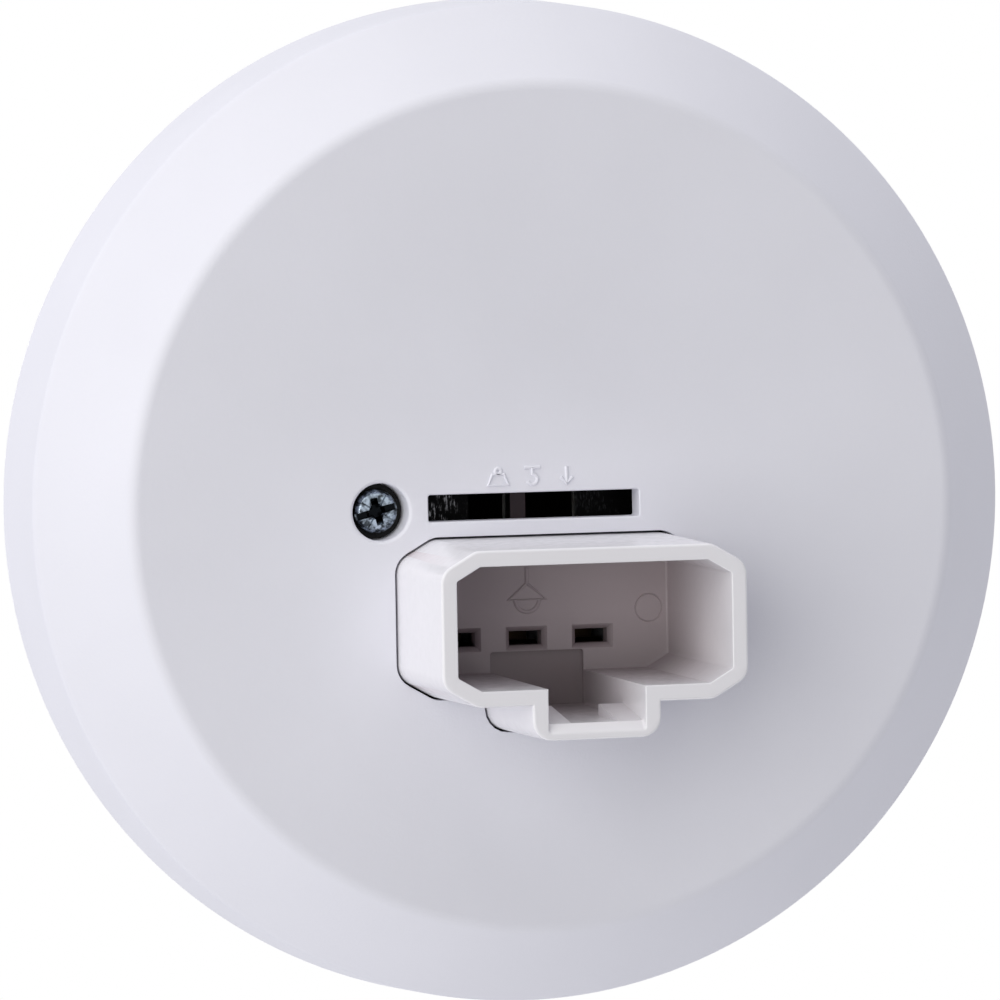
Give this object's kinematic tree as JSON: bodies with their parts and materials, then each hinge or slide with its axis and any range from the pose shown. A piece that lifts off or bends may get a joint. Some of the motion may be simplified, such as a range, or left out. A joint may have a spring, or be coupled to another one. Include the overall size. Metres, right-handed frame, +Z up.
{
  "type": "ceiling light outlet",
  "caption": "Round bevelled ceiling outlet with a projecting keyed lamp socket, a hook slot and a screwed cover.",
  "frame": {"origin": "on the ceiling plane, midway between the two fixing slots, which is the centre of the round cover", "axes": "+Z up into the ceiling, so the face looks down along -Z; +Y from the socket towards the hook slot; +X towards the cover screw"},
  "size_m": [0.128, 0.128, 0.0452],
  "materials": {
    "cover_white": "fine grained matt moulding",
    "socket_white": "glossy moulding",
    "base_white": "plain moulding",
    "housing_grey": "plain moulding",
    "button_orange": "smooth moulding",
    "bracket_steel": "dark zinc-plated sheet with scratches",
    "zinc_steel": "bright zinc plating",
    "spring_steel": "bright spring strip",
    "contact_brass": "bright strip",
    "retainer_black": "black washer"
  },
  "bodies": {
    "outlet": {"cover": "cover_white", "cover_screw": "zinc_steel", "screw_retainer": "retainer_black", "socket_body": "socket_white", "base_plate": "base_white", "hook_bracket": "bracket_steel", "bracket_rivets": "zinc_steel", "socket_screws": "zinc_steel", "terminal_housing": "housing_grey", "terminal_lid": "housing_grey", "contact_live": "contact_brass", "clamp_spring_live": "spring_steel", "contact_earth": "contact_brass", "clamp_spring_earth": "spring_steel", "contact_neutral": "contact_brass", "clamp_spring_neutral": "spring_steel"},
    "button_live": {"release_button_live": "button_orange"},
    "button_earth": {"release_button_earth": "button_orange"},
    "button_neutral": {"release_button_neutral": "button_orange"}
  },
  "joints": [
    {"name": "release_live", "type": "slide", "parent": "outlet", "child": "button_live", "axis": [0, 0, -1], "range_m": [0, 0.0014], "stiffness_N_per_m": 2000, "deforming": ["clamp_spring_live"]},
    {"name": "release_earth", "type": "slide", "parent": "outlet", "child": "button_earth", "axis": [0, 0, -1], "range_m": [0, 0.0014], "stiffness_N_per_m": 2000, "deforming": ["clamp_spring_earth"]},
    {"name": "release_neutral", "type": "slide", "parent": "outlet", "child": "button_neutral", "axis": [0, 0, -1], "range_m": [0, 0.0014], "stiffness_N_per_m": 2000, "deforming": ["clamp_spring_neutral"]}
  ]
}
